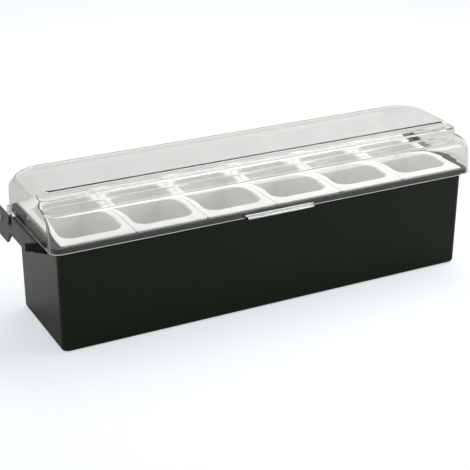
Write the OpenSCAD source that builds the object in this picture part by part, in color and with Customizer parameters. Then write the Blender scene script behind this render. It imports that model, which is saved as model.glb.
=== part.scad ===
// Six-tray condiment caddy with a hinged clear lid.
// X runs along the length (left to right), Y from front to back, Z up.
// The origin is the middle of the base's underside.

/* [Lid] */
// Length of the lid from end to end
lid_l = 500; // [470:1:540]
// Depth of the lid from front wall to back wall
lid_w = 140; // [134:0.2:156]
// Height of the lid from its lower edge to its flat top
lid_rise = 50; // [46:0.1:60]
// Wall thickness of the lid
lid_wall = 2; // [1.6:0.1:2.6]
// Radius of the lid's four upright corners
lid_corner_r = 11; // [8:0.5:14]
// Radius along the top of the lid's back wall
lid_back_r = 25; // [12:1:32]
// Radius along the top of the lid's front wall
lid_front_r = 11; // [6:0.5:13]
// Radius along the top of the lid's end walls
lid_end_r = 8; // [5:0.5:10]
// Distance from the front wall back to the riser of the lower step
lower_step_in = 31.2; // [26:0.2:36]
// Distance from the front wall back to the riser of the upper step
upper_step_in = 43.4; // [39:0.2:50]
// Height of the lower step's riser
lower_step_rise = 8.5; // [7.5:0.1:10]
// Height of the upper step's riser
upper_step_rise = 5; // [4:0.1:6]
// Radius of the steps' upright corners
step_corner_r = 9; // [6:0.5:12]
// Radius along the steps' top edges
step_edge_r = 1.8; // [1.5:0.1:2.6]
// Gap between the lid's inner face and the rim inside it
lid_clearance = 0.8; // [0.6:0.1:1.2]
// Gap between the lid's lower edge and the end handles it rests on
lid_rest_gap = 0.4; // [0.3:0.1:0.8]

/* [Base] */
// Height of the top of the rim above the table
base_h = 117.8; // [105:0.1:130]
// Thickness of the box walls
base_wall = 2.6; // [2.4:0.1:4]
// Thickness of the box floor
base_floor = 3.5; // [2.5:0.1:5]
// Height of the rim's outer edge
rim_t = 5; // [4:0.1:6]
// How far the rim stands out past the box walls
rim_out = 5.6; // [4:0.1:7]
// Depth of the recess in the rim that the trays' lips sit in
rim_recess = 1.5; // [1:0.1:2]
// How far the lid's skirt hangs below the rim's top
skirt_drop = 5.4; // [5:0.1:8]
// Radius of the box's four upright corners
box_corner_r = 6; // [4:0.5:8]
// Radius of the box's bottom edges
box_foot_r = 4; // [2:0.5:5]

/* [End handles] */
// How far each end handle stands out past the lid's end
handle_out = 12; // [9:0.5:16]
// Length of a handle's outer edge, front to back
handle_l = 58; // [46:1:60]
// How far the handle's middle lies behind the middle of the caddy
handle_back = 2; // [0:0.5:6]
// Height of a handle's outer edge
handle_t = 9; // [6:0.5:10]
// Depth of the web that carries a handle, below the handle
handle_web = 6; // [4:0.5:9]
// Thickness of a handle's shelf and lip
handle_wall = 2.5; // [2:0.1:3.5]

/* [Hinge] */
// Distance of the hinge axis in front of the lid's back face
hinge_in = 8.6; // [8:0.1:9.4]
// Distance of the hinge axis below the lid's lower edge
hinge_below = 5.6; // [5.2:0.1:6.4]
// Diameter of the hinge pins
pin_d = 4; // [3:0.1:4.6]
// Diameter of a pin's head
pin_head_d = 7.5; // [6:0.1:9]
// Thickness of a pin's head
pin_head_t = 1.6; // [1:0.1:2.2]
// Radius of the lid's hinge knuckle round the pin
knuckle_r = 5.2; // [4.4:0.1:5.6]
// Thickness of the hinge plate at each end of the base
plate_t = 3; // [2.4:0.1:4]
// Gap between the knuckle and the hinge plate
plate_gap = 0.8; // [0.6:0.1:1.2]
// Depth of the hinge plate, front to back
plate_w = 38; // [34:0.5:40]
// Height of the hinge plate
plate_h = 33; // [28:0.5:38]
// Height of the hinge plate's top above the lid's lower edge
plate_up = 5; // [2:0.1:7]

/* [Trays] */
// Number of trays side by side
tray_count = 6; // [6]
// Gap between neighbouring trays
tray_gap = 0.5; // [0.3:0.1:0.9]
// Gap between the row of trays and the box at each end
tray_end_gap = 0.8; // [0.6:0.1:2]
// Gap between the trays' lips and the recess in the rim
tray_seat_gap = 0.8; // [0.4:0.1:2.2]
// Width of the ledge that carries the trays' front and back lips
ledge_w = 5.4; // [3:0.1:6]
// Width of a tray's lip along each side
tray_side_lip = 7.8; // [6:0.1:11]
// Width of a tray's lip at the front and back
tray_front_lip = 15.2; // [12:0.1:18]
// Thickness of a tray's lip
tray_lip_t = 3; // [2.4:0.1:4]
// Wall thickness of a tray
tray_wall = 1.8; // [1.4:0.1:2.4]
// Depth of a tray below its lip
tray_depth = 92; // [70:1:96]
// How much a tray narrows on each side down to its floor
tray_draft = 3.5; // [2:0.1:5]
// Radius of a tray's upright corners
tray_corner_r = 12; // [8:0.5:14]
// Radius of a tray's floor edges
tray_floor_r = 7; // [5:0.5:9]
// Radius of the corners of a tray's lip
tray_lip_r = 3; // [3:0.5:7]

/* [Grip] */
// Length of the grip bar on the lid's lower front edge
grip_l = 82; // [60:1:110]
// How far the grip bar stands out from the lid
grip_out = 6.4; // [5:0.2:9]
// Height of the grip bar where it meets the lid
grip_h = 3.6; // [3:0.1:6]

/* [Hidden] */
$fn = 48;

// Lid heights and faces
lid_edge_z = base_h - skirt_drop;
lid_top_z = lid_edge_z + lid_rise;
lid_front_y = -lid_w / 2;
lid_back_y = lid_w / 2;
lower_top_z = lid_top_z - upper_step_rise - lower_step_rise;
middle_top_z = lid_top_z - upper_step_rise;
wall_lean = 1.2; // how far the front and end walls lean in up to the lid's top
riser_lean = 0.6; // how far a step's riser leans back

// Box and rim
rim_half_l = lid_l / 2 - lid_wall - lid_clearance;
rim_half_w = lid_w / 2 - lid_wall - lid_clearance;
rim_r = lid_corner_r - lid_wall - lid_clearance;
box_half_l = rim_half_l - rim_out;
box_half_w = rim_half_w - rim_out;
mouth_half_l = box_half_l - base_wall;
mouth_half_w = box_half_w - base_wall;
rim_low_z = base_h - rim_t;
ledge_z = base_h - rim_recess;
seat_half_w = mouth_half_w + ledge_w;

// Handles and hinge
handle_top_z = lid_edge_z - lid_rest_gap;
handle_out_x = lid_l / 2 + handle_out;
handle_root_x = box_half_l - base_wall / 2;
handle_taper = 6; // how much wider the handle is at the lid than at its outer edge
handle_front_y = handle_back - handle_l / 2;
handle_rear_y = handle_back + handle_l / 2;
hinge_y = lid_back_y - hinge_in;
hinge_z = lid_edge_z - hinge_below;
arm_in_x = lid_l / 2 - 0.7 * lid_wall;
arm_half_w = knuckle_r - 0.3;
arm_out = 1.2; // how far a hinge arm stands out past the lid's end wall
arm_up = 5; // how far it reaches up the wall
pin_r = pin_d / 2;
pin_seat = 0.02; // the pin is held by the plate
pin_run = 0.08; // the knuckle turns on the pin
handle_lip = 2.5; // how far the handle's outer edge stands out past the plate
plate_in_x = handle_out_x - handle_lip - plate_t;
knuckle_out_x = plate_in_x - plate_gap;
plate_top_z = lid_edge_z + plate_up;
plate_back_y = lid_back_y + 1.6;
plate_front_y = plate_back_y - plate_w;
plate_bottom_z = plate_top_z - plate_h;
plate_cut = 12; // corner cut off the plate, below at the front
plate_nick = 2; // the plate's other corners

// Trays
tray_pitch = (2 * (mouth_half_l - tray_end_gap) + tray_gap) / tray_count;
tray_lip_w = tray_pitch - tray_gap;
tray_lip_d = 2 * (seat_half_w - tray_seat_gap);
tray_top_z = ledge_z + tray_lip_t;
tray_in_w = tray_lip_w - 2 * tray_side_lip;
tray_in_d = tray_lip_d - 2 * tray_front_lip;

arc_steps = 7;

// Turns a corner at p, between neighbours a and b, into an arc of radius r.
function unit(v) = v / norm(v);
function short_turn(t) = t > 180 ? t - 360 : t < -180 ? t + 360 : t;
function corner_arc(a, p, b, r) =
    let (
        u = unit(a - p),
        v = unit(b - p),
        half = acos(u * v) / 2,
        c = p + unit(u + v) * r / sin(half),
        s = p + u * r / tan(half) - c,
        e = p + v * r / tan(half) - c,
        start = atan2(s[1], s[0]),
        turn = short_turn(atan2(e[1], e[0]) - start)
    )
    [for (k = [0:arc_steps])
        let (angle = start + turn * k / arc_steps)
        c + r * [cos(angle), sin(angle)]];

// A closed outline from corners [x, y, r], each rounded by its own r.
function xy(c) = [c[0], c[1]];
function rounded(cs) =
    let (n = len(cs))
    [for (i = [0:n - 1])
        each cs[i][2] > 0
            ? corner_arc(xy(cs[(i + n - 1) % n]), xy(cs[i]), xy(cs[(i + 1) % n]), cs[i][2])
            : [xy(cs[i])]];

module rounded_rect(half_x, half_y, r) {
    square([2 * half_x - 2 * r, 2 * half_y], center = true);
    square([2 * half_x, 2 * half_y - 2 * r], center = true);
    for (sx = [-1, 1], sy = [-1, 1])
        translate([sx * (half_x - r), sy * (half_y - r)])
            circle(r);
}

// Extrudes a Y-Z outline along X, from x0 to x1.
module along_x(x0, x1) {
    translate([x0, 0, 0])
        rotate([90, 0, 90])
            linear_extrude(x1 - x0)
                children();
}

// Extrudes an X-Z outline along Y, from y0 to y1.
module along_y(y0, y1) {
    translate([0, y1, 0])
        rotate([90, 0, 0])
            linear_extrude(y1 - y0)
                children();
}

// The two ends are mirror images.
module both_ends() {
    children();
    mirror([1, 0, 0])
        children();
}

// One level of the lid: its front wall at front_y, leaning back by lean, its top at top_z. It runs
// back to back_y, and is drawn in by t for the cavity.
module lid_level(front_y, lean, edge_r, corner_r, top_z, back_y, back_r, t, low_z) {
    half = lid_l / 2 - t;
    intersection() {
        along_x(-half, half)
            polygon(rounded([
                [front_y + t, low_z, 0],
                [front_y + lean + t, top_z - t, edge_r],
                [back_y - t, top_z - t, back_r],
                [back_y - t, low_z, 0]
            ]));
        translate([0, 0, low_z])
            linear_extrude(lid_top_z)
                polygon(rounded([
                    [half, front_y + t, corner_r - t],
                    [half, lid_back_y - t, lid_corner_r - t],
                    [-half, lid_back_y - t, lid_corner_r - t],
                    [-half, front_y + t, corner_r - t]
                ]));
    }
}

// The lid's three levels, the front one, the tread between the steps and the crown, between its
// two end walls.
module lid_form(t, low_z) {
    middle_y = lid_front_y + lower_step_in;
    crown_y = lid_front_y + upper_step_in;
    half = lid_l / 2 - t;
    intersection() {
        union() {
            lid_level(lid_front_y, wall_lean, lid_front_r - t, lid_corner_r, lower_top_z, 0, 0, t, low_z);
            lid_level(middle_y, riser_lean, step_edge_r - t / 2, step_corner_r, middle_top_z, 0,
                0, t, low_z);
            lid_level(crown_y, riser_lean, step_edge_r - t / 2, step_corner_r, lid_top_z, lid_back_y,
                lid_back_r - t, t, low_z);
        }
        along_y(-lid_w / 2, lid_w / 2)
            polygon(rounded([
                [half, low_z, 0],
                [half - wall_lean, lid_top_z - t, lid_end_r - t],
                [wall_lean - half, lid_top_z - t, lid_end_r - t],
                [-half, low_z, 0]
            ]));
    }
}

module on_hinge_axis(x) {
    translate([x, hinge_y, hinge_z])
        rotate([0, 90, 0])
            children();
}

// The arm that hangs below the lid's end wall and turns on the pin.
module lid_arm() {
    difference() {
        union() {
            along_x(arm_in_x, lid_l / 2 + arm_out)
                translate([hinge_y - arm_half_w, hinge_z])
                    square([2 * arm_half_w, hinge_below + arm_up]);
            on_hinge_axis(arm_in_x)
                cylinder(r = knuckle_r, h = knuckle_out_x - arm_in_x);
        }
        on_hinge_axis(arm_in_x - 1)
            cylinder(r = pin_r + pin_run, h = handle_out_x);
    }
}

module dome_lid() {
    color([0.90, 0.92, 0.93, 0.35])
        union() {
            difference() {
                lid_form(0, lid_edge_z);
                lid_form(lid_wall, lid_edge_z - 1);
            }
            both_ends()
                lid_arm();
        }
}

module lid_grip() {
    grip_edge = 0.7; // bevel of the bar's outer edges
    grip_rise = 0.6; // how much higher the bar is at the lid than at its outer edge
    grip_taper = 1.5; // how much each end draws in towards the outer edge
    outer_y = lid_front_y - grip_out;
    outer_top_z = lid_edge_z + grip_h - grip_rise;
    color([0.93, 0.94, 0.97, 0.5])
        intersection() {
            along_x(-grip_l / 2, grip_l / 2)
                polygon([
                    [lid_front_y, lid_edge_z],
                    [outer_y + grip_edge, lid_edge_z],
                    [outer_y, lid_edge_z + grip_edge],
                    [outer_y, outer_top_z - grip_edge],
                    [outer_y + grip_edge, outer_top_z],
                    [lid_front_y, lid_edge_z + grip_h]
                ]);
            translate([0, 0, lid_edge_z])
                linear_extrude(grip_h)
                    polygon([
                        [-grip_l / 2, lid_front_y],
                        [-grip_l / 2 + grip_taper, outer_y],
                        [grip_l / 2 - grip_taper, outer_y],
                        [grip_l / 2, lid_front_y]
                    ]);
        }
}

// The box with its rounded bottom edges.
module box_form() {
    intersection() {
        linear_extrude(base_h - rim_t / 2)
            rounded_rect(box_half_l, box_half_w, box_corner_r);
        along_x(-box_half_l, box_half_l)
            polygon(rounded([
                [-box_half_w, 0, box_foot_r],
                [box_half_w, 0, box_foot_r],
                [box_half_w, base_h, 0],
                [-box_half_w, base_h, 0]
            ]));
        along_y(-box_half_w, box_half_w)
            polygon(rounded([
                [-box_half_l, 0, box_foot_r],
                [box_half_l, 0, box_foot_r],
                [box_half_l, base_h, 0],
                [-box_half_l, base_h, 0]
            ]));
    }
}

// A handle's outline seen from above, drawn in by t for the finger pocket under it.
module handle_outline(t) {
    out_x = handle_out_x - t;
    polygon([
        [handle_root_x, handle_front_y - handle_taper + t],
        [out_x - handle_lip, handle_front_y + t],
        [out_x, handle_front_y + handle_lip + t],
        [out_x, handle_rear_y - t],
        [out_x - handle_lip, handle_rear_y + handle_lip - t],
        [handle_root_x, handle_rear_y + handle_lip - t]
    ]);
}

// The carrying handle at the right end: a shelf with a lip, open underneath for the fingers.
module handle() {
    low_z = handle_top_z - handle_t;
    difference() {
        union() {
            translate([0, 0, low_z])
                linear_extrude(handle_t)
                    handle_outline(0);
            along_y(handle_front_y - handle_taper / 2, handle_rear_y + handle_lip)
                polygon([
                    [handle_root_x, low_z - handle_web],
                    [box_half_l + rim_out, low_z - handle_web / 2],
                    [plate_in_x, low_z],
                    [plate_in_x, low_z + handle_t / 2],
                    [handle_root_x, low_z + handle_t / 2]
                ]);
        }
        translate([0, 0, low_z - handle_web - 1])
            linear_extrude(handle_t + handle_web + 1 - handle_wall)
                handle_outline(handle_wall);
    }
    // the block that joins the hinge plate to the box
    translate([handle_root_x, handle_rear_y, low_z])
        cube([
            plate_in_x + plate_t / 2 - handle_root_x,
            plate_front_y + plate_cut - handle_rear_y,
            handle_t
        ]);
}

// The plate behind the handle that holds the hinge pin.
module hinge_plate() {
    difference() {
        along_x(plate_in_x, plate_in_x + plate_t)
            polygon([
                [plate_front_y, plate_top_z - plate_nick],
                [plate_front_y, plate_bottom_z + plate_cut],
                [plate_front_y + plate_cut, plate_bottom_z],
                [plate_back_y - plate_nick, plate_bottom_z],
                [plate_back_y, plate_bottom_z + plate_nick],
                [plate_back_y, plate_top_z - plate_nick],
                [plate_back_y - plate_nick, plate_top_z],
                [plate_front_y + plate_nick, plate_top_z]
            ]);
        on_hinge_axis(lid_l / 2)
            cylinder(r = pin_r + pin_seat, h = 2 * handle_out + plate_t);
    }
}

module base_box() {
    color([0.13, 0.14, 0.13])
        union() {
            difference() {
                union() {
                    box_form();
                    translate([0, 0, rim_low_z])
                        linear_extrude(rim_t)
                            rounded_rect(rim_half_l, rim_half_w, rim_r);
                }
                translate([0, 0, base_floor])
                    linear_extrude(base_h)
                        rounded_rect(mouth_half_l, mouth_half_w, box_corner_r - base_wall / 2);
                translate([0, 0, ledge_z])
                    linear_extrude(base_h)
                        rounded_rect(mouth_half_l, seat_half_w, box_corner_r - base_wall / 2);
            }
            both_ends() {
                handle();
                hinge_plate();
            }
        }
}

// A rounded block that narrows downwards: the pocket of a tray, or its outside.
module tray_form(half_x, half_y, top_z, bottom_z, corner_r, floor_r) {
    hull()
        for (sx = [-1, 1], sy = [-1, 1]) {
            translate([sx * (half_x - corner_r), sy * (half_y - corner_r), top_z - 1])
                cylinder(r = corner_r, h = 1, $fn = 32);
            translate([
                sx * (half_x - tray_draft - floor_r),
                sy * (half_y - tray_draft - floor_r),
                bottom_z + floor_r
            ])
                sphere(floor_r, $fn = 32);
        }
}

// Tray number i, counted from the left.
module tray(i) {
    translate([(i - (tray_count + 1) / 2) * tray_pitch, 0, 0])
        color([0.95, 0.95, 0.94])
            difference() {
                union() {
                    translate([0, 0, ledge_z])
                        linear_extrude(tray_lip_t)
                            rounded_rect(tray_lip_w / 2, tray_lip_d / 2, tray_lip_r);
                    tray_form(
                        tray_in_w / 2 + tray_wall,
                        tray_in_d / 2 + tray_wall,
                        ledge_z + tray_lip_t / 2,
                        ledge_z - tray_depth,
                        tray_corner_r + tray_wall,
                        tray_floor_r + tray_wall
                    );
                }
                tray_form(
                    tray_in_w / 2,
                    tray_in_d / 2,
                    tray_top_z + 1,
                    ledge_z - tray_depth + tray_wall,
                    tray_corner_r,
                    tray_floor_r
                );
            }
}

// A headed pin, pushed in from outside the right-hand hinge plate.
module hinge_pin() {
    plate_out_x = plate_in_x + plate_t;
    pin_in_x = lid_l / 2 - lid_wall - lid_clearance / 2;
    color([0.72, 0.73, 0.75])
        union() {
            on_hinge_axis(pin_in_x)
                cylinder(r = pin_r, h = plate_out_x - pin_in_x);
            on_hinge_axis(plate_out_x)
                cylinder(d = pin_head_d, h = pin_head_t);
        }
}

base_box();
tray(1);  // tray_1
tray(2);  // tray_2
tray(3);  // tray_3
tray(4);  // tray_4
tray(5);  // tray_5
tray(6);  // tray_6
dome_lid();
lid_grip();
mirror([1, 0, 0]) hinge_pin();  // hinge_pin_left
hinge_pin();  // hinge_pin_right
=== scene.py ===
"""A six-tray condiment caddy with a hinged clear lid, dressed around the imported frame.

The object's lengths are millimetres, in the frame's own axes: X along the length, Y from
front to back, Z up, origin under the middle of the base. The studio's lengths are metres.
"""

import math

import bmesh
import bpy
from mathutils import Matrix, Vector


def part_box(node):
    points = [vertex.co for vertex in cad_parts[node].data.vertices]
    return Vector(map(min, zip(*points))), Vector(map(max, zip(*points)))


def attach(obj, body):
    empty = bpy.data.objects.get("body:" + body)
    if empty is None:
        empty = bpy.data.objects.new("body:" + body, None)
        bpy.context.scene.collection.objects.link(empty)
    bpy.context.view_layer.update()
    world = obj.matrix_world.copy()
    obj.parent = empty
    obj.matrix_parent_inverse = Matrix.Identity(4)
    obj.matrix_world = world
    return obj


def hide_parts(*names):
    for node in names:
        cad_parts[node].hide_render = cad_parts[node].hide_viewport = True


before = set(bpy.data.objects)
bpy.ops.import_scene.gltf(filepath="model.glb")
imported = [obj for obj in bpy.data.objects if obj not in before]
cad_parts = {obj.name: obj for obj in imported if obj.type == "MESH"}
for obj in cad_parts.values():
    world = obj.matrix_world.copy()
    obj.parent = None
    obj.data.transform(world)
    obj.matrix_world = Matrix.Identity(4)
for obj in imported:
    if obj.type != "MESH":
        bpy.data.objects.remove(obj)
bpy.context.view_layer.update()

MM = 0.001


# ---------------------------------------------------------------- sizes

def cad_box(node):
    """Lowest and highest corners of a CAD node, in millimetres."""
    low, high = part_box(node)
    return low / MM, high / MM


LID_HIGH = cad_box("dome_lid")[1]
BASE_HIGH = cad_box("base_box")[1]
GRIP_LOW, GRIP_HIGH = cad_box("lid_grip")
PIN_LOW, PIN_HIGH = cad_box("hinge_pin_right")

# The lid's shell
LID_HALF_L = 250.0
LID_HALF_W = LID_HIGH.y
LID_TOP = LID_HIGH.z
LID_EDGE = GRIP_LOW.z
LID_WALL = 2.0
LID_EDGE_BEVEL = 0.35
LID_LEAN = 1.2  # the front and the ends lean in by this, up to where they round over
LID_CORNER_R = 11.0
WALL_CORNER_GROWTH = 3.0  # the front corners' radius grows by this up the front wall
ARC_CORNER_GROWTH = 2.0  # and by this over the rounding above it
BACK_CORNER_GROWTH = 3.5  # the back corners' radius grows at this rate as the back rounds over
LID_FRONT_R = 11.0
LID_END_R = 11.5  # the rounding over that the ends show; the solid's is 8
LID_BACK_R = 25.0

# The lid's steps
LOWER_TREAD = LID_TOP - 13.5
UPPER_TREAD = LID_TOP - 5.0
TREAD_FALL = 0.2  # each tread falls this much towards the front
LOWER_RISER_IN = 31.2
UPPER_RISER_IN = 43.4
STEP_CORNER_R = 7.0  # the corners in plan that the steps show; the solid's are 9
STEP_EDGE_R = 1.8
STEP_FOOT_R = 1.2
LEAST_R = 0.4  # the least that the steps' edges are rounded on the inner face

# The hinge plates and pins
HINGE_Y = (PIN_LOW.y + PIN_HIGH.y) / 2
HINGE_Z = (PIN_LOW.z + PIN_HIGH.z) / 2
PLATE_T = 3.0
PLATE_OUT_X = BASE_HIGH.x - 2.5
PLATE_IN_X = PLATE_OUT_X - PLATE_T
PLATE_FRONT = 33.6
PLATE_BACK = BASE_HIGH.y
PLATE_LOW = 84.4
PLATE_HIGH = 117.4
PLATE_CUT = 12.0
PLATE_NICK = 2.0
PIN_R = 2.0
PIN_TIP = 0.4
PIN_HEAD_R = (PIN_HIGH.y - PIN_LOW.y) / 2
PIN_HEAD_EDGE = 0.2
PIN_DOME = ((0.7, 1.0), (1.2, 0.86), (1.5, 0.55))  # height over the plate, share of the head's radius

# The lid's arms
TAB_IN_X = LID_HALF_L + 0.05
TAB_OUT_X = LID_HALF_L + 1.2
KNUCKLE_IN_X = LID_HALF_L - 1.4
KNUCKLE_OUT_X = LID_HIGH.x
KNUCKLE_R = 5.2
TAB_HALF_W = KNUCKLE_R - 0.3
TAB_SHOULDER_Z = LID_EDGE + 3.0
TAB_ROUND_Z = LID_EDGE + 2.0
PIN_PLAY = 0.15

# The grip bar
GRIP_GAP = 0.05
GRIP_TAPER = 1.5
GRIP_CHAMFER = 0.9
GRIP_CHAMFER_H = 0.7
GRIP_FACE_SHARE = 0.62  # the front face ends at this share of the bar's height
GRIP_SLOPE_SHARE = 0.84  # and the steep slope above it at this one

# The box and its rim
RIM_TOP = 117.8
RIM_LOW = 112.8
RIM_HALF_L = 247.2
RIM_HALF_W = 67.2
RIM_CORNER_R = 8.2
RIM_EDGE_R = 0.8
BOX_HALF_L = 241.6
BOX_HALF_W = 61.6
BOX_CORNER_R = 6.0
BOX_FOOT_R = 4.0
BOX_DRAFT = 0.6
BOX_FLOOR = 3.5
BOX_FLOOR_R = 3.0
MOUTH_HALF_L = 239.0
MOUTH_HALF_W = 59.0
MOUTH_CORNER_R = 4.5
SEAT_HALF_W = 64.4
SEAT_CHAMFER = 0.5
LEDGE = 116.3
LEDGE_CHAMFER = 0.3
INNER_EDGE_H = 0.4
RING_STEP = 0.05  # each ring down the mouth lies this far inside the one above, so no two coincide

# The handles
HANDLE_TOP = 112.0
HANDLE_T = 9.0
HANDLE_WEB = 6.0
HANDLE_WALL = 2.5
HANDLE_OUT_X = BASE_HIGH.x
HANDLE_ROOT_X = BOX_HALF_L - 1.3
HANDLE_FRONT = -27.0
HANDLE_REAR = 31.0
HANDLE_LIP = 2.5
HANDLE_TAPER = 6.0

# The trays
TRAY_COUNT = 6
TRAY_DEPTH = 92.0
TRAY_WALL = 1.8
TRAY_DRAFT = 3.5
TRAY_FLOOR_R = 7.0
TRAY_MOUTH_R = 12.0
TRAY_ROLL_R = 2.9
TRAY_LIP_T = 3.0
TRAY_LIP_R = 3.0
TRAY_LIP_EDGE_R = 0.5
TRAY_LIP_CHAMFER_H = 0.7
TRAY_SIDE_LIP = 7.8
TRAY_FRONT_LIP = 15.2
TRAY_ROOT = 0.6  # the chamfer between a tray's wall and the underside of its lip
OUTER_CORNER_RATE = 0.3  # how fast the corners tighten over the rounding of the floor, outside
INNER_CORNER_RATE = 0.2  # and inside

# Boolean cutters run past what they cut, and added blocks stop short of its faces
CUT_PAST = 1.0
HOLE_PAST = 5.0
FACE_GAP = 0.02


# ---------------------------------------------------------------- mesh helpers

def new_object(name, bm):
    """A smooth-shaded object from a bmesh in millimetres."""
    bmesh.ops.recalc_face_normals(bm, faces=bm.faces)
    bm.transform(Matrix.Scale(MM, 4))
    mesh = bpy.data.meshes.new(name)
    bm.to_mesh(mesh)
    bm.free()
    for face in mesh.polygons:
        face.use_smooth = True
    obj = bpy.data.objects.new(name, mesh)
    bpy.context.scene.collection.objects.link(obj)
    return obj


def add_weighted_normals(obj):
    """Keeps the large faces flat in shading beside small rounded ones."""
    weighted = obj.modifiers.new("normals", "WEIGHTED_NORMAL")
    weighted.weight = 60
    weighted.keep_sharp = False


def add_bevel(obj, width, angle=50):
    """Rounds the edges that are sharper than the angle, and keeps flat faces flat."""
    bevel = obj.modifiers.new("edges", "BEVEL")
    bevel.width = width * MM
    bevel.segments = 3
    bevel.limit_method = "ANGLE"
    bevel.angle_limit = math.radians(angle)
    bevel.harden_normals = False
    add_weighted_normals(obj)


CORNER_STEPS = 10


def ring(front, back, end, corner_front, corner_back, z):
    """One closed loop of a rounded rectangle at a height, symmetric left to right.

    front and back are its Y values, end is its half length.
    """
    corners = (
        (1, front + corner_front, corner_front, -90),
        (1, back - corner_back, corner_back, 0),
        (-1, back - corner_back, corner_back, 90),
        (-1, front + corner_front, corner_front, 180),
    )
    points = []
    for side, centre_y, radius, start in corners:
        for step in range(CORNER_STEPS + 1):
            angle = math.radians(start + 90 * step / CORNER_STEPS)
            points.append((
                side * (end - radius) + radius * math.cos(angle),
                centre_y + radius * math.sin(angle),
                z,
            ))
    return points


def plain_ring(half_l, half_w, radius, z):
    """A rounded rectangle about the middle, with four equal corners."""
    return ring(-half_w, half_w, half_l, radius, radius, z)


def loft(rings, shift=(0, 0, 0)):
    """A closed bmesh through rings that all have the same number of points."""
    bm = bmesh.new()
    offset = Vector(shift)
    loops = [[bm.verts.new(Vector(p) + offset) for p in points] for points in rings]
    count = len(loops[0])
    for lower, upper in zip(loops, loops[1:]):
        for i in range(count):
            j = (i + 1) % count
            bm.faces.new((lower[i], lower[j], upper[j], upper[i]))
    bm.faces.new(loops[0])
    bm.faces.new(loops[-1])
    return bm


def prism(outline, axis, low, high):
    """A bmesh that extrudes a 2-D outline along X, Y or Z between two values."""
    place = {
        "x": lambda a, b, c: (c, a, b),
        "y": lambda a, b, c: (a, c, b),
        "z": lambda a, b, c: (a, b, c),
    }[axis]
    bm = bmesh.new()
    ends = [[bm.verts.new(place(a, b, c)) for a, b in outline] for c in (low, high)]
    count = len(outline)
    for i in range(count):
        j = (i + 1) % count
        bm.faces.new((ends[0][i], ends[0][j], ends[1][j], ends[1][i]))
    bm.faces.new(ends[0])
    bm.faces.new(ends[1])
    return bm


def arc(centre_a, centre_b, radius, start, end, steps):
    """Points on an arc, from one angle to another in degrees."""
    return [
        (
            centre_a + radius * math.cos(math.radians(start + (end - start) * i / steps)),
            centre_b + radius * math.sin(math.radians(start + (end - start) * i / steps)),
        )
        for i in range(steps + 1)
    ]


def circle(centre_a, centre_b, radius, count):
    """Evenly spaced points on a full circle."""
    return arc(centre_a, centre_b, radius, 0, 360, count)[:-1]


def combine(obj, other, operation):
    """Applies a Boolean with another object, which is then removed."""
    step = obj.modifiers.new("combine", "BOOLEAN")
    step.operation = operation
    step.object = other
    step.solver = "EXACT"
    depsgraph = bpy.context.evaluated_depsgraph_get()
    result = bpy.data.meshes.new_from_object(obj.evaluated_get(depsgraph))
    obj.modifiers.remove(step)
    obj.data = result
    bpy.data.objects.remove(other)


def handed(side, *solids):
    """Right-hand bmeshes as they are, or mirrored for the left-hand side, -1."""
    if side < 0:
        for bm in solids:
            bmesh.ops.scale(bm, vec=(-1, 1, 1), verts=bm.verts)
            bmesh.ops.reverse_faces(bm, faces=bm.faces)
    return solids


def hand_name(side):
    return "right" if side > 0 else "left"


# ---------------------------------------------------------------- materials

def node_material(name):
    """A new material with its node tree and its Principled shader."""
    material = bpy.data.materials.new(name)
    material.use_nodes = True
    tree = material.node_tree
    shader = tree.nodes["Principled BSDF"]
    return material, tree, shader


def noise(tree, scale, detail=3.0, roughness=0.55, vector=None):
    """A noise texture in object space; scale is in waves per metre."""
    if vector is None:
        vector = tree.nodes.new("ShaderNodeTexCoord").outputs["Object"]
    texture = tree.nodes.new("ShaderNodeTexNoise")
    texture.inputs["Scale"].default_value = scale
    texture.inputs["Detail"].default_value = detail
    texture.inputs["Roughness"].default_value = roughness
    tree.links.new(vector, texture.inputs["Vector"])
    return texture.outputs["Fac"]


def spread(tree, value, low, high):
    """Maps a 0..1 value to a range."""
    node = tree.nodes.new("ShaderNodeMapRange")
    node.inputs["To Min"].default_value = low
    node.inputs["To Max"].default_value = high
    tree.links.new(value, node.inputs["Value"])
    return node.outputs["Result"]


def two_colours(tree, value, colour_a, colour_b):
    """Mixes two colours by a 0..1 value."""
    node = tree.nodes.new("ShaderNodeMix")
    node.data_type = "RGBA"
    node.inputs["A"].default_value = (*colour_a, 1)
    node.inputs["B"].default_value = (*colour_b, 1)
    tree.links.new(value, node.inputs["Factor"])
    return node.outputs["Result"]


def bump(tree, shader, height, distance, strength):
    """Bumps the surface by a height texture; distance is in metres."""
    node = tree.nodes.new("ShaderNodeBump")
    node.inputs["Distance"].default_value = distance
    node.inputs["Strength"].default_value = strength
    tree.links.new(height, node.inputs["Height"])
    tree.links.new(node.outputs["Normal"], shader.inputs["Normal"])


def base_plastic():
    """Near-black moulded plastic with a fine spark-eroded grain."""
    material, tree, shader = node_material("base_plastic")
    mottling = noise(tree, 60, detail=2.0)
    grain = noise(tree, 1600, detail=2.0, roughness=0.6)
    colour = two_colours(tree, mottling, (0.0085, 0.0135, 0.0078), (0.0100, 0.0155, 0.0092))
    tree.links.new(colour, shader.inputs["Base Color"])
    tree.links.new(spread(tree, grain, 0.22, 0.32), shader.inputs["Roughness"])
    shader.inputs["IOR"].default_value = 1.55
    shader.inputs["Specular Tint"].default_value = (0.34, 0.37, 0.34, 1)
    bump(tree, shader, grain, 0.00012, 0.5)
    return material


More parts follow.
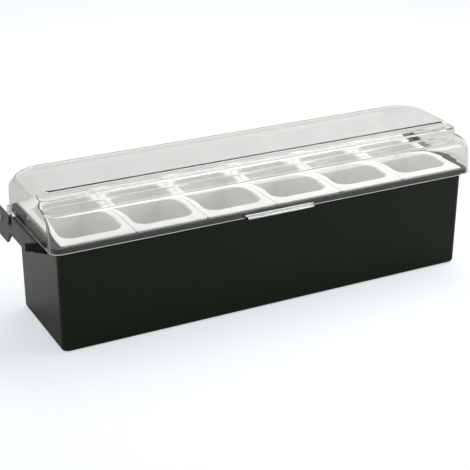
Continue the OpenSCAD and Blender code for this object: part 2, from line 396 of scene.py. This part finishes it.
def tray_plastic():
    """White, slightly translucent polypropylene."""
    material, tree, shader = node_material("tray_plastic")
    cloud = noise(tree, 35, detail=2.0)
    grain = noise(tree, 900, detail=2.0)
    colour = two_colours(tree, cloud, (0.93, 0.935, 0.925), (0.95, 0.955, 0.945))
    tree.links.new(colour, shader.inputs["Base Color"])
    tree.links.new(spread(tree, grain, 0.30, 0.42), shader.inputs["Roughness"])
    shader.inputs["Subsurface Weight"].default_value = 0.25
    shader.inputs["Subsurface Radius"].default_value = (1.0, 0.95, 0.85)
    shader.inputs["Subsurface Scale"].default_value = 0.004
    shader.inputs["IOR"].default_value = 1.49
    bump(tree, shader, grain, 0.00005, 0.4)
    return material


def let_lamps_through(tree, shader, tint):
    """Lets the light of lamps pass through clear plastic to what lies behind it."""
    path = tree.nodes.new("ShaderNodeLightPath")
    clear = tree.nodes.new("ShaderNodeBsdfTransparent")
    clear.inputs["Color"].default_value = (*tint, 1)
    mix = tree.nodes.new("ShaderNodeMixShader")
    tree.links.new(path.outputs["Is Shadow Ray"], mix.inputs["Fac"])
    tree.links.new(shader.outputs["BSDF"], mix.inputs[1])
    tree.links.new(clear.outputs["BSDF"], mix.inputs[2])
    tree.links.new(mix.outputs["Shader"], tree.nodes["Material Output"].inputs["Surface"])


def clear_plastic(name, colour_a, colour_b, roughness):
    """Clear moulded plastic: polished, with the faint waviness of a moulding."""
    material, tree, shader = node_material(name)
    waves = noise(tree, 14, detail=1.5)
    haze = noise(tree, 140, detail=3.0)
    tree.links.new(two_colours(tree, waves, colour_a, colour_b), shader.inputs["Base Color"])
    tree.links.new(spread(tree, haze, roughness * 0.6, roughness * 1.4), shader.inputs["Roughness"])
    shader.inputs["Transmission Weight"].default_value = 1.0
    shader.inputs["IOR"].default_value = 1.50
    bump(tree, shader, waves, 0.0006, 0.15)
    let_lamps_through(tree, shader, (0.95, 0.95, 0.95))
    return material


def painted_edge_highlight():
    """The lower edge of the clear lid, coloured white: a painted highlight, the bright line along that edge.
    """
    material, tree, shader = node_material("painted_edge_highlight")
    scratches = noise(tree, 900, detail=2.0)
    # the near-white colour paints the highlight along the lid's lower edge
    colour = two_colours(tree, scratches, (0.90, 0.91, 0.93), (0.97, 0.98, 0.99))
    tree.links.new(colour, shader.inputs["Base Color"])
    tree.links.new(spread(tree, scratches, 0.45, 0.70), shader.inputs["Roughness"])
    return material


def pin_steel():
    """Turned steel with faint rings round the pin's axis."""
    material, tree, shader = node_material("pin_steel")
    coordinates = tree.nodes.new("ShaderNodeTexCoord")
    stretch = tree.nodes.new("ShaderNodeMapping")
    stretch.inputs["Scale"].default_value = (8.0, 0.3, 0.3)
    tree.links.new(coordinates.outputs["Object"], stretch.inputs["Vector"])
    lines = noise(tree, 600, detail=2.0, vector=stretch.outputs["Vector"])
    colour = two_colours(tree, lines, (0.30, 0.30, 0.31), (0.40, 0.40, 0.41))
    tree.links.new(colour, shader.inputs["Base Color"])
    tree.links.new(spread(tree, lines, 0.24, 0.38), shader.inputs["Roughness"])
    shader.inputs["Metallic"].default_value = 1.0
    bump(tree, shader, lines, 0.00003, 0.4)
    return material


BASE_MATERIAL = base_plastic()
TRAY_MATERIAL = tray_plastic()
LID_MATERIAL = clear_plastic("clear_plastic", (0.925, 0.915, 0.905), (0.945, 0.938, 0.930), 0.02)
GRIP_MATERIAL = clear_plastic("clear_plastic_grip", (0.97, 0.975, 0.985), (0.985, 0.988, 0.995), 0.03)
LID_EDGE_MATERIAL = painted_edge_highlight()
PIN_MATERIAL = pin_steel()


def finish_piece(obj, material, slot, body, *nodes):
    """Gives a piece its material and the body it rides on, and hides the CAD nodes it stands for. The slot
    is not used.
    """
    obj.data.materials.clear()
    obj.data.materials.append(material)
    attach(obj, body)
    if nodes:
        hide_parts(*nodes)


# ---------------------------------------------------------------- the lid

def front_profile(inset):
    """The lid's front from its lower edge to its top, drawn in by inset for the inner face.

    Each point is (distance in from the front plane, height, plan radius of the corners there).
    """
    corner_r = LID_CORNER_R - inset
    arc_z = LOWER_TREAD - TREAD_FALL - LID_FRONT_R
    points = [
        (inset + LID_LEAN * part, LID_EDGE + (arc_z - LID_EDGE) * part, corner_r + WALL_CORNER_GROWTH * part)
        for part in (0.0, 0.3, 0.6, 1.0)
    ]
    front_r = LID_FRONT_R - inset
    for a, b in arc(LID_LEAN + LID_FRONT_R, arc_z, front_r, 180, 90, 12)[1:]:
        growth = WALL_CORNER_GROWTH + ARC_CORNER_GROWTH * (b - arc_z) / front_r
        points.append((a, b, corner_r + growth))
    for riser_in, low, high in (
        (LOWER_RISER_IN, LOWER_TREAD, UPPER_TREAD),
        (UPPER_RISER_IN, UPPER_TREAD, LID_TOP),
    ):
        edge_r = max(STEP_EDGE_R - inset, LEAST_R)
        fall = TREAD_FALL if high < LID_TOP else 0.0
        foot = arc(riser_in - STEP_FOOT_R, low + STEP_FOOT_R, STEP_FOOT_R + inset, -90, 0, 6)
        edge = arc(riser_in + inset + edge_r, high - fall - inset - edge_r, edge_r, 180, 90, 8)
        (foot_in, foot_z), (edge_in, edge_z) = foot[-1], edge[0]
        riser = [
            (foot_in + (edge_in - foot_in) * part, foot_z + (edge_z - foot_z) * part)
            for part in (0.33, 0.67)
        ]
        points += [(a, b, STEP_CORNER_R - inset) for a, b in foot + riser + edge]
    return points


def lid_ring(inward, z, corner_r, inset):
    """The lid's outline at a height: the front as the profile says, the ends and back round over."""
    end_r, back_r = LID_END_R - inset, LID_BACK_R - inset
    end_rise = max(z - (LID_TOP - LID_END_R), 0.0)
    back_rise = max(z - (LID_TOP - LID_BACK_R), 0.0)
    lean = LID_LEAN * min((z - LID_EDGE) / (LID_TOP - LID_END_R - LID_EDGE), 1.0)
    end_in = inset + lean + end_r - math.sqrt(max(end_r ** 2 - end_rise ** 2, 0.0))
    back_in = back_r - math.sqrt(max(back_r ** 2 - back_rise ** 2, 0.0))
    return ring(
        front=-LID_HALF_W + inward,
        back=LID_HALF_W - inset - back_in,
        end=LID_HALF_L - end_in,
        corner_front=corner_r,
        corner_back=min(LID_CORNER_R - inset + BACK_CORNER_GROWTH * back_in, back_r),
        z=z,
    )


def make_lid():
    """A closed shell: down the inner face, round the lower edge and up the outer face."""
    inner = [lid_ring(a, z, r, LID_WALL) for a, z, r in front_profile(LID_WALL)]
    outer = [lid_ring(a, z, r, 0.0) for a, z, r in front_profile(0.0)]
    edge = [
        lid_ring(inset, LID_EDGE, LID_CORNER_R - inset, inset)
        for inset in (LID_WALL - LID_EDGE_BEVEL, LID_EDGE_BEVEL)
    ]
    for first in (inner[0], outer[0]):
        for i, (x, y, z) in enumerate(first):
            first[i] = (x, y, z + LID_EDGE_BEVEL)
    shell = new_object("lid_shell", loft(inner[::-1] + edge + outer))
    add_weighted_normals(shell)
    finish_piece(shell, LID_MATERIAL, "clear_plastic", "lid", "dome_lid")
    shell.data.materials.append(LID_EDGE_MATERIAL)
    for face in shell.data.polygons:
        if face.center.z < (LID_EDGE + LID_EDGE_BEVEL) * MM:
            face.material_index = 1


def make_lid_arm(side):
    """The tab below the lid's end wall, with the knuckle that turns on the pin."""
    front, back = HINGE_Y - TAB_HALF_W, HINGE_Y + TAB_HALF_W
    outline = [(back, HINGE_Z), (back, TAB_SHOULDER_Z)]
    outline += arc(HINGE_Y, TAB_ROUND_Z, TAB_HALF_W, 30, 150, 8)
    outline += [(front, TAB_SHOULDER_Z), (front, HINGE_Z)]
    outline += arc(HINGE_Y, HINGE_Z, TAB_HALF_W, 190, 350, 14)
    tab, knuckle, hole = handed(
        side,
        prism(outline, "x", TAB_IN_X, TAB_OUT_X),
        prism(circle(HINGE_Y, HINGE_Z, KNUCKLE_R, 36), "x", KNUCKLE_IN_X, KNUCKLE_OUT_X),
        prism(circle(HINGE_Y, HINGE_Z, PIN_R + PIN_PLAY, 32), "x",
              LID_HALF_L - HOLE_PAST, KNUCKLE_OUT_X + HOLE_PAST),
    )
    arm = new_object(f"lid_arm_{hand_name(side)}", tab)
    combine(arm, new_object("knuckle", knuckle), "UNION")
    combine(arm, new_object("hole", hole), "DIFFERENCE")
    add_bevel(arm, 0.3)
    finish_piece(arm, LID_MATERIAL, "clear_plastic", "lid")


def make_grip():
    """The stepped bar on the lid's lower front edge, a little shorter at its front than at its back."""
    back_y = -LID_HALF_W - GRIP_GAP
    front_y = GRIP_LOW.y
    low, high = GRIP_LOW.z, GRIP_HIGH.z
    height = high - low
    outline = [
        (back_y, low),
        (front_y + GRIP_CHAMFER, low),
        (front_y, low + GRIP_CHAMFER_H),
        (front_y, low + height * GRIP_FACE_SHARE),
        (front_y + GRIP_CHAMFER, low + height * GRIP_SLOPE_SHARE),
        (back_y, high),
    ]
    bm = prism(outline, "x", GRIP_LOW.x, GRIP_HIGH.x)
    for vert in bm.verts:
        forward = (back_y - vert.co.y) / (back_y - front_y)
        vert.co.x -= math.copysign(GRIP_TAPER, vert.co.x) * forward
    grip = new_object("grip_bar", bm)
    add_bevel(grip, 0.3, angle=20)
    finish_piece(grip, GRIP_MATERIAL, "clear_plastic", "lid", "lid_grip")


# ---------------------------------------------------------------- the trays

def tray_rings(half_l, half_w):
    """Rings of one tray, from under its floor, over its lip and down into its pocket."""
    lip_top = LEDGE + TRAY_LIP_T
    low = LEDGE - TRAY_DEPTH
    outer_r = TRAY_FLOOR_R + TRAY_WALL

    def mouth_ring(growth, corner_growth, z):
        return plain_ring(
            half_l - TRAY_SIDE_LIP + growth,
            half_w - TRAY_FRONT_LIP + growth,
            TRAY_MOUTH_R + corner_growth,
            z,
        )

    def lip_ring(inset, z):
        return plain_ring(half_l - inset, half_w - inset, TRAY_LIP_R, z)

    rings = []
    for a, b in arc(0, 0, outer_r, 270, 360, 6):
        inset = TRAY_DRAFT - TRAY_WALL + outer_r - a
        rings.append(mouth_ring(-inset, a * OUTER_CORNER_RATE - TRAY_DRAFT, low + outer_r + b))
    rings.append(mouth_ring(TRAY_WALL, TRAY_WALL, LEDGE - TRAY_ROOT))
    rings.append(mouth_ring(TRAY_WALL + TRAY_ROOT, TRAY_WALL, LEDGE))
    rings.append(lip_ring(TRAY_LIP_EDGE_R, LEDGE))
    rings.append(lip_ring(0, LEDGE + TRAY_LIP_CHAMFER_H))
    for a, b in arc(0, 0, TRAY_LIP_EDGE_R, 0, 90, 5):
        rings.append(lip_ring(TRAY_LIP_EDGE_R - a, lip_top - TRAY_LIP_EDGE_R + b))
    for a, b in arc(0, 0, TRAY_ROLL_R, 90, 180, 7):
        rings.append(mouth_ring(TRAY_ROLL_R + a, TRAY_ROLL_R + a, lip_top - TRAY_ROLL_R + b))
    for a, b in arc(0, 0, TRAY_FLOOR_R, 0, -90, 7):
        bend = TRAY_FLOOR_R - a
        rings.append(mouth_ring(
            -TRAY_DRAFT - bend, -TRAY_DRAFT - bend * INNER_CORNER_RATE, low + TRAY_WALL + TRAY_FLOOR_R + b))
    return rings


def make_tray(number):
    """One tray where its CAD node lies, as long and as wide."""
    low, high = cad_box(f"tray_{number}")
    centre = (low.x + high.x) / 2
    half_l = (high.x - low.x) / 2
    tray = new_object(f"tray_shell_{number}", loft(tray_rings(half_l, high.y), shift=(centre, 0, 0)))
    add_weighted_normals(tray)
    finish_piece(tray, TRAY_MATERIAL, "tray_plastic", f"tray_{number}", f"tray_{number}")


# ---------------------------------------------------------------- the base

def box_rings():
    """Rings of the box, up its outside, over its rim and down to its floor."""
    def wall_ring(growth, z):
        return plain_ring(BOX_HALF_L + growth, BOX_HALF_W + growth, BOX_CORNER_R, z)

    def rim_ring(inset, z):
        return plain_ring(RIM_HALF_L - inset, RIM_HALF_W - inset, RIM_CORNER_R - inset, z)

    def mouth_ring(growth, half_w, z):
        return plain_ring(MOUTH_HALF_L + growth, half_w, MOUTH_CORNER_R, z)

    rings = []
    for a, b in arc(0, 0, BOX_FOOT_R, 270, 360, 6):
        rings.append(wall_ring(a - BOX_FOOT_R - BOX_DRAFT, BOX_FOOT_R + b))
    rings.append(wall_ring(0, RIM_LOW - RIM_EDGE_R))
    rings.append(wall_ring(RIM_EDGE_R, RIM_LOW))
    rings.append(rim_ring(RIM_EDGE_R, RIM_LOW))
    for a, b in arc(0, 0, RIM_EDGE_R, -60, 0, 3):
        rings.append(rim_ring(RIM_EDGE_R - a, RIM_LOW + RIM_EDGE_R + b))
    for a, b in arc(0, 0, RIM_EDGE_R, 0, 90, 4):
        rings.append(rim_ring(RIM_EDGE_R - a, RIM_TOP - RIM_EDGE_R + b))
    rings.append(plain_ring(
        MOUTH_HALF_L + SEAT_CHAMFER, SEAT_HALF_W + SEAT_CHAMFER, MOUTH_CORNER_R + SEAT_CHAMFER, RIM_TOP))
    rings.append(mouth_ring(2 * RING_STEP, SEAT_HALF_W, RIM_TOP - INNER_EDGE_H))
    rings.append(mouth_ring(RING_STEP, SEAT_HALF_W - 2 * RING_STEP, LEDGE))
    rings.append(mouth_ring(0, MOUTH_HALF_W + LEDGE_CHAMFER, LEDGE))
    rings.append(mouth_ring(-RING_STEP, MOUTH_HALF_W, LEDGE - INNER_EDGE_H))
    for a, b in arc(0, 0, BOX_FLOOR_R, 0, -90, 4):
        growth = a - BOX_FLOOR_R - BOX_DRAFT
        rings.append(mouth_ring(growth, MOUTH_HALF_W + growth, BOX_FLOOR + BOX_FLOOR_R + b))
    return rings


def make_box():
    """The deep box with its rim, the ledge that the trays rest on, and its floor."""
    box = new_object("box_shell", loft(box_rings()))
    add_weighted_normals(box)
    finish_piece(box, BASE_MATERIAL, "base_plastic", "base", "base_box")


def handle_outline(inset):
    """A handle from above, drawn in by inset for the pocket under it."""
    out = HANDLE_OUT_X - inset
    rear = HANDLE_REAR - inset
    return [
        (HANDLE_ROOT_X, HANDLE_FRONT - HANDLE_TAPER + inset),
        (out - HANDLE_LIP, HANDLE_FRONT + inset),
        (out, HANDLE_FRONT + HANDLE_LIP + inset),
        (out, rear),
        (out - HANDLE_LIP, rear + HANDLE_LIP),
        (HANDLE_ROOT_X, rear + HANDLE_LIP),
    ]


def make_handle(side):
    """The shelf and lip at one end, open below, with the block behind that carries the hinge plate."""
    low = HANDLE_TOP - HANDLE_T
    middle = low + HANDLE_T / 2
    web_outline = [
        (HANDLE_ROOT_X, low - HANDLE_WEB),
        (RIM_HALF_L, low - HANDLE_WEB / 2),
        (PLATE_IN_X, low),
        (PLATE_IN_X, middle),
        (HANDLE_ROOT_X, middle),
    ]
    block_x, block_back = PLATE_IN_X + PLATE_T / 2, PLATE_FRONT + PLATE_CUT
    block_outline = [
        (HANDLE_ROOT_X, HANDLE_REAR),
        (block_x, HANDLE_REAR),
        (block_x, block_back),
        (HANDLE_ROOT_X, block_back),
    ]
    solids = handed(
        side,
        prism(handle_outline(0), "z", low, HANDLE_TOP),
        prism(web_outline, "y", HANDLE_FRONT - HANDLE_TAPER / 2, HANDLE_REAR + HANDLE_LIP),
        prism(handle_outline(HANDLE_WALL), "z", low - HANDLE_WEB - CUT_PAST, HANDLE_TOP - HANDLE_WALL),
        prism(block_outline, "z", low + FACE_GAP, HANDLE_TOP - FACE_GAP),
    )
    shelf, web, pocket, block = (new_object(f"part_{i}", bm) for i, bm in enumerate(solids))
    shelf.name = f"handle_{hand_name(side)}"
    combine(shelf, web, "UNION")
    combine(shelf, pocket, "DIFFERENCE")
    combine(shelf, block, "UNION")
    add_bevel(shelf, 0.6, angle=35)
    finish_piece(shelf, BASE_MATERIAL, "base_plastic", "base")


def make_hinge_plate(side):
    """The upright plate that holds the pin, with its lower front corner cut off."""
    outline = [
        (PLATE_FRONT, PLATE_HIGH - PLATE_NICK),
        (PLATE_FRONT, PLATE_LOW + PLATE_CUT),
        (PLATE_FRONT + PLATE_CUT, PLATE_LOW),
        (PLATE_BACK - PLATE_NICK, PLATE_LOW),
        (PLATE_BACK, PLATE_LOW + PLATE_NICK),
        (PLATE_BACK, PLATE_HIGH - PLATE_NICK),
        (PLATE_BACK - PLATE_NICK, PLATE_HIGH),
        (PLATE_FRONT + PLATE_NICK, PLATE_HIGH),
    ]
    (bm,) = handed(side, prism(outline, "x", PLATE_IN_X, PLATE_OUT_X))
    plate = new_object(f"hinge_plate_{hand_name(side)}", bm)
    add_bevel(plate, 0.6, angle=30)
    finish_piece(plate, BASE_MATERIAL, "base_plastic", "base")


def make_pin(side):
    """A turned pin with a domed head outside the hinge plate."""
    profile = [
        (PIN_LOW.x, 0.0),
        (PIN_LOW.x, PIN_R - PIN_TIP),
        (PIN_LOW.x + PIN_TIP, PIN_R),
        (PLATE_OUT_X, PIN_R),
        (PLATE_OUT_X, PIN_HEAD_R - PIN_HEAD_EDGE),
        (PLATE_OUT_X + PIN_HEAD_EDGE, PIN_HEAD_R),
    ]
    profile += [(PLATE_OUT_X + height, PIN_HEAD_R * share) for height, share in PIN_DOME]
    profile.append((PIN_HIGH.x, 0.0))
    bm = bmesh.new()
    path = [bm.verts.new((x, HINGE_Y, HINGE_Z + r)) for x, r in profile]
    edges = [bm.edges.new(pair) for pair in zip(path, path[1:])]
    bmesh.ops.spin(
        bm, geom=path + edges, axis=(1, 0, 0), cent=(0, HINGE_Y, HINGE_Z),
        angle=2 * math.pi, steps=32, use_duplicate=False)
    bmesh.ops.remove_doubles(bm, verts=bm.verts, dist=0.001)
    handed(side, bm)
    pin = new_object(f"pin_{hand_name(side)}", bm)
    add_weighted_normals(pin)
    finish_piece(pin, PIN_MATERIAL, "pin_steel", "base", f"hinge_pin_{hand_name(side)}")


# ---------------------------------------------------------------- studio

# Lengths in metres, angles in degrees, the lens in millimetres and the lamp's power in watts
CAMERA_PLACE = Vector((-0.5973, -1.1211, 0.6164))
CAMERA_YAW = 27.417
CAMERA_PITCH = 23.551
CAMERA_ROLL = 0.091
CAMERA_LENS = 95.94
CAMERA_SHIFT_Y = -0.0075
LAMP_PLACE = (0.6, 0.15, 1.2)
LAMP_TARGET = (0.25, 0, 0.1)
LAMP_SIZE = (2.0, 0.5)
LAMP_POWER = 9.0
FLOOR_HALF = 6.0

# Levels of light: 1 is white
WORLD_WHITE = 1.0  # what the camera, reflections and clear plastic see of the world
WORLD_FILL = 0.38  # what the world gives as light
FLOOR_GLOW = 0.565  # lifts the lit floor to a pale ground for the camera, and leaves its shadow
FLOOR_GLOW_THROUGH_LID = 0.14  # the same, for what shows through the lid
FLOOR_GLOW_IN_GLOSS = 0.03  # and in reflections


def make_camera():
    """The camera where it stood for the photograph."""
    data = bpy.data.cameras.new("camera")
    data.lens = CAMERA_LENS
    data.sensor_width = 36.0
    data.shift_y = CAMERA_SHIFT_Y
    camera = bpy.data.objects.new("camera", data)
    bpy.context.scene.collection.objects.link(camera)
    turn = Matrix.Rotation(math.radians(-CAMERA_YAW), 4, "Z")
    tilt = Matrix.Rotation(math.radians(90 - CAMERA_PITCH), 4, "X")
    roll = Matrix.Rotation(math.radians(CAMERA_ROLL), 4, "Z")
    camera.matrix_world = Matrix.Translation(CAMERA_PLACE) @ turn @ tilt @ roll
    bpy.context.scene.camera = camera


def by_ray(tree, diffuse, glossy, transmission, camera):
    """A level for each kind of ray. A ray of two kinds takes the level of the later one here."""
    path = tree.nodes.new("ShaderNodeLightPath")
    value = None
    for kind, level in (("Glossy", glossy), ("Transmission", transmission), ("Camera", camera)):
        choice = tree.nodes.new("ShaderNodeMix")
        tree.links.new(path.outputs[f"Is {kind} Ray"], choice.inputs["Factor"])
        choice.inputs["A"].default_value = diffuse
        choice.inputs["B"].default_value = level
        if value:
            tree.links.new(value, choice.inputs["A"])
        value = choice.outputs["Result"]
    return value


def make_world():
    """White to the camera and in reflections, a soft even fill for everything else."""
    world = bpy.data.worlds.new("studio")
    bpy.context.scene.world = world
    world.use_nodes = True
    tree = world.node_tree
    background = tree.nodes["Background"]
    background.inputs["Color"].default_value = (1, 1, 1, 1)
    level = by_ray(
        tree, diffuse=WORLD_FILL, glossy=WORLD_WHITE, transmission=WORLD_WHITE, camera=WORLD_WHITE)
    tree.links.new(level, background.inputs["Strength"])


def make_floor():
    """A matt pale floor that keeps the object's shadow."""
    bm = bmesh.new()
    for x, y in ((-1, -1), (1, -1), (1, 1), (-1, 1)):
        bm.verts.new((x * FLOOR_HALF, y * FLOOR_HALF, 0))
    bm.faces.new(bm.verts)
    mesh = bpy.data.meshes.new("floor")
    bm.to_mesh(mesh)
    bm.free()
    floor = bpy.data.objects.new("floor", mesh)
    bpy.context.scene.collection.objects.link(floor)
    material, tree, shader = node_material("floor_white")
    shader.inputs["Base Color"].default_value = (0.80, 0.79, 0.77, 1)
    shader.inputs["Roughness"].default_value = 0.9
    shader.inputs["Specular IOR Level"].default_value = 0.0
    shader.inputs["Emission Color"].default_value = (0.90, 0.95, 1.0, 1)
    glow = by_ray(
        tree, diffuse=0.0, glossy=FLOOR_GLOW_IN_GLOSS, transmission=FLOOR_GLOW_THROUGH_LID,
        camera=FLOOR_GLOW)
    tree.links.new(glow, shader.inputs["Emission Strength"])
    mesh.materials.append(material)


def make_lamp():
    """One long softbox above the object, a little to the right."""
    data = bpy.data.lights.new("top_softbox", "AREA")
    data.shape = "RECTANGLE"
    data.size, data.size_y = LAMP_SIZE
    data.energy = LAMP_POWER
    lamp = bpy.data.objects.new("top_softbox", data)
    bpy.context.scene.collection.objects.link(lamp)
    direction = Vector(LAMP_TARGET) - Vector(LAMP_PLACE)
    turn = direction.to_track_quat("-Z", "Y").to_matrix().to_4x4()
    lamp.matrix_world = Matrix.Translation(LAMP_PLACE) @ turn


# ---------------------------------------------------------------- build

make_camera()
make_world()
make_floor()
make_lamp()
make_box()
make_lid()
make_grip()
for tray_number in range(1, TRAY_COUNT + 1):
    make_tray(tray_number)
for hand in (-1, 1):
    make_handle(hand)
    make_hinge_plate(hand)
    make_lid_arm(hand)
    make_pin(hand)

bpy.context.scene.view_settings.view_transform = "Standard"
